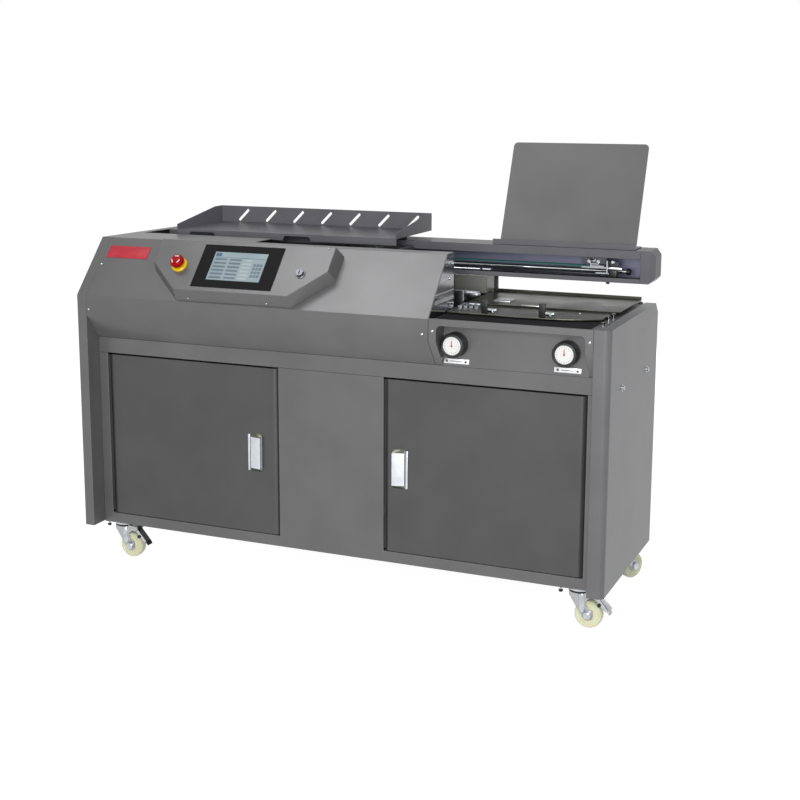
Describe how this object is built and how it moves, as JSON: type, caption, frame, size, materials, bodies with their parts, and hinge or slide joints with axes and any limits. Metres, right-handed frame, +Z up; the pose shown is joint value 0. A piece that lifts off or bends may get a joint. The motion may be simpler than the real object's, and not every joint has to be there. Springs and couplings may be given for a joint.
{
  "type": "book spine gluing machine",
  "caption": "Floor-standing perfect binding machine on castors with a two-door cabinet, sloping control front, clamp beam, cover table, paper tray and copy stand",
  "frame": {"origin": "on the floor, under the middle of the box round the whole machine", "axes": "+X to the operator's right along the machine, +Y away from the operator, +Z up"},
  "size_m": [1.56, 0.62, 1.2418],
  "materials": {
    "grey_paint": "grey textured powder coat, slight sheen",
    "side_paint": "lighter grey powder coat",
    "door_paint": "darker grey powder coat",
    "satin_steel": "ground and brushed steel plate",
    "bright_steel": "polished round bar",
    "zinc": "bright zinc plated pressing",
    "cream_tread": "cream nylon, smooth",
    "black_plastic": "fine-grained black moulding",
    "white_dial": "white dial face",
    "red_plastic": "glossy red mushroom head",
    "yellow_plastic": "yellow collar",
    "screen": "pale lit display behind flat glass",
    "belt": "teal toothed belt",
    "label_plate": "bare silver plate"
  },
  "bodies": {
    "machine_frame": {"left_side_panel": "grey_paint", "right_side_panel": "side_paint", "rear_panel": "grey_paint", "base_pan": "grey_paint", "front_frame": "grey_paint", "top_rail": "grey_paint", "machine_bed": "satin_steel", "front_cover": "grey_paint", "right_front_frame": "grey_paint", "knob_panel": "grey_paint", "housing_right_wall": "satin_steel", "rear_cover": "grey_paint", "power_inlet": "black_plastic", "control_box": "grey_paint", "screen_bezel": "black_plastic", "screen_glass": "screen", "estop_collar": "yellow_plastic", "label_left": "label_plate", "label_right": "label_plate", "beam": "grey_paint", "beam_end_cap": "grey_paint", "guide_shaft_upper": "bright_steel", "drive_belt": "belt", "idler_bracket": "black_plastic", "tray": "grey_paint", "stand_plate": "grey_paint", "stand_ledge": "grey_paint", "glue_tank": "satin_steel"},
    "left_door": {"door_left": "door_paint", "handle_left": "label_plate"},
    "right_door": {"door_right": "door_paint", "handle_right": "label_plate"},
    "left_knob": {"knob_left": "black_plastic", "dial_left": "white_dial"},
    "right_knob": {"knob_right": "black_plastic", "dial_right": "white_dial"},
    "front_table_plate": {"arc_plate": "satin_steel"},
    "rear_table_plate": {"rear_nip_plate": "satin_steel"},
    "left_cover_stop": {"cover_stop_left": "bright_steel"},
    "right_cover_stop": {"cover_stop_right": "bright_steel"},
    "stop_button": {"estop_button": "red_plastic"},
    "key": {"key_switch": "bright_steel"},
    "clamp_carriage": {"carriage": "satin_steel", "clamp_rear_jaw": "satin_steel", "guide_shaft_lower": "bright_steel"},
    "front_jaw": {"clamp_front_jaw": "satin_steel"},
    "belt_drive_pulley": {"drive_pulley": "satin_steel"},
    "belt_idler_pulley": {"idler_pulley": "satin_steel"},
    "roller": {"glue_roller": "satin_steel"},
    "cutter": {"milling_cutter": "satin_steel"},
    "castor_front_left": {"caster_fork_front_left": "zinc"},
    "wheel_front_left": {"caster_wheel_front_left": "cream_tread"},
    "castor_front_right": {"caster_fork_front_right": "zinc"},
    "wheel_front_right": {"caster_wheel_front_right": "cream_tread"},
    "castor_rear_left": {"caster_fork_rear_left": "zinc"},
    "wheel_rear_left": {"caster_wheel_rear_left": "cream_tread"},
    "castor_rear_right": {"caster_fork_rear_right": "zinc"},
    "wheel_rear_right": {"caster_wheel_rear_right": "cream_tread"},
    "pedal_front_left": {"brake_pedal_front_left": "black_plastic"},
    "pedal_front_right": {"brake_pedal_front_right": "zinc"}
  },
  "joints": [
    {"name": "left_door_hinge", "type": "hinge", "parent": "machine_frame", "child": "left_door", "pos_m": [-0.702, -0.218, 0.157], "axis": [0, 0, 1], "range_deg": [-95, 0]},
    {"name": "right_door_hinge", "type": "hinge", "parent": "machine_frame", "child": "right_door", "pos_m": [0.694, -0.218, 0.157], "axis": [0, 0, 1], "range_deg": [0, 95]},
    {"name": "front_plate_slide", "type": "slide", "parent": "machine_frame", "child": "front_table_plate", "axis": [0, 1, 0], "range_m": [-0.008, 0.008]},
    {"name": "left_knob_turn", "type": "hinge", "parent": "machine_frame", "child": "left_knob", "pos_m": [0.361, -0.236, 0.744], "axis": [0, 1, 0], "range_deg": [-720, 720]},
    {"name": "rear_plate_slide", "type": "slide", "parent": "machine_frame", "child": "rear_table_plate", "axis": [0, 1, 0], "range_m": [-0.008, 0.008]},
    {"name": "right_knob_turn", "type": "hinge", "parent": "machine_frame", "child": "right_knob", "pos_m": [0.659, -0.236, 0.744], "axis": [0, 1, 0], "range_deg": [-720, 720]},
    {"name": "left_stop_slide", "type": "slide", "parent": "front_table_plate", "child": "left_cover_stop", "axis": [1, 0, 0], "range_m": [-0.06, 0.04]},
    {"name": "right_stop_slide", "type": "slide", "parent": "front_table_plate", "child": "right_cover_stop", "axis": [1, 0, 0], "range_m": [-0.04, 0.04]},
    {"name": "stop_button_press", "type": "slide", "parent": "machine_frame", "child": "stop_button", "axis": [0, 0.745, -0.6671], "range_m": [0, 0.004]},
    {"name": "key_turn", "type": "hinge", "parent": "machine_frame", "child": "key", "pos_m": [-0.0775, -0.26065, 0.90619], "axis": [0, -0.745, 0.6671], "range_deg": [0, 90]},
    {"name": "clamp_travel", "type": "slide", "parent": "machine_frame", "child": "clamp_carriage", "axis": [1, 0, 0], "range_m": [-0.56, 0.43]},
    {"name": "front_jaw_close", "type": "slide", "parent": "clamp_carriage", "child": "front_jaw", "axis": [0, 1, 0], "range_m": [0, 0.06]},
    {"name": "drive_pulley_turn", "type": "hinge", "parent": "machine_frame", "child": "belt_drive_pulley", "pos_m": [-0.7, 0.19, 0.929], "axis": [0, 1, 0], "continuous": true},
    {"name": "idler_pulley_turn", "type": "hinge", "parent": "machine_frame", "child": "belt_idler_pulley", "pos_m": [0.61, 0.19, 0.929], "axis": [0, 1, 0], "continuous": true},
    {"name": "glue_roller_turn", "type": "hinge", "parent": "machine_frame", "child": "roller", "pos_m": [-0.38, 0, 0.786], "axis": [0, 1, 0], "continuous": true},
    {"name": "cutter_turn", "type": "hinge", "parent": "machine_frame", "child": "cutter", "pos_m": [-0.18, -0.01, 0.76], "axis": [0, 0, 1], "continuous": true},
    {"name": "swivel_front_left", "type": "hinge", "parent": "machine_frame", "child": "castor_front_left", "pos_m": [-0.727, -0.162, 0.11], "axis": [0, 0, 1], "continuous": true},
    {"name": "roll_front_left", "type": "hinge", "parent": "castor_front_left", "child": "wheel_front_left", "pos_m": [-0.7, -0.162, 0.0375], "axis": [0, 1, 0], "continuous": true},
    {"name": "swivel_front_right", "type": "hinge", "parent": "machine_frame", "child": "castor_front_right", "pos_m": [0.686, -0.162, 0.11], "axis": [0, 0, 1], "continuous": true},
    {"name": "roll_front_right", "type": "hinge", "parent": "castor_front_right", "child": "wheel_front_right", "pos_m": [0.713, -0.162, 0.0375], "axis": [0, 1, 0], "continuous": true},
    {"name": "swivel_rear_left", "type": "hinge", "parent": "machine_frame", "child": "castor_rear_left", "pos_m": [-0.727, 0.238, 0.11], "axis": [0, 0, 1], "continuous": true},
    {"name": "roll_rear_left", "type": "hinge", "parent": "castor_rear_left", "child": "wheel_rear_left", "pos_m": [-0.7135, 0.26138, 0.0375], "axis": [-0.866, 0.5, 0], "continuous": true},
    {"name": "swivel_rear_right", "type": "hinge", "parent": "machine_frame", "child": "castor_rear_right", "pos_m": [0.708, 0.238, 0.11], "axis": [0, 0, 1], "continuous": true},
    {"name": "roll_rear_right", "type": "hinge", "parent": "castor_rear_right", "child": "wheel_rear_right", "pos_m": [0.7215, 0.26138, 0.0375], "axis": [-0.866, 0.5, 0], "continuous": true},
    {"name": "brake_front_left", "type": "hinge", "parent": "castor_front_left", "child": "pedal_front_left", "pos_m": [-0.682, -0.162, 0.0917], "axis": [0, 1, 0], "range_deg": [-22, 0]},
    {"name": "brake_front_right", "type": "hinge", "parent": "castor_front_right", "child": "pedal_front_right", "pos_m": [0.731, -0.162, 0.0917], "axis": [0, 1, 0], "range_deg": [-22, 0]}
  ],
  "couplings": [
    {"joint": "left_knob_turn", "follows": "front_plate_slide", "rad_per_m": 1570.8},
    {"joint": "right_knob_turn", "follows": "rear_plate_slide", "rad_per_m": 1570.8},
    {"joint": "drive_pulley_turn", "follows": "clamp_travel", "rad_per_m": -56.98},
    {"joint": "idler_pulley_turn", "follows": "clamp_travel", "rad_per_m": -56.98}
  ]
}
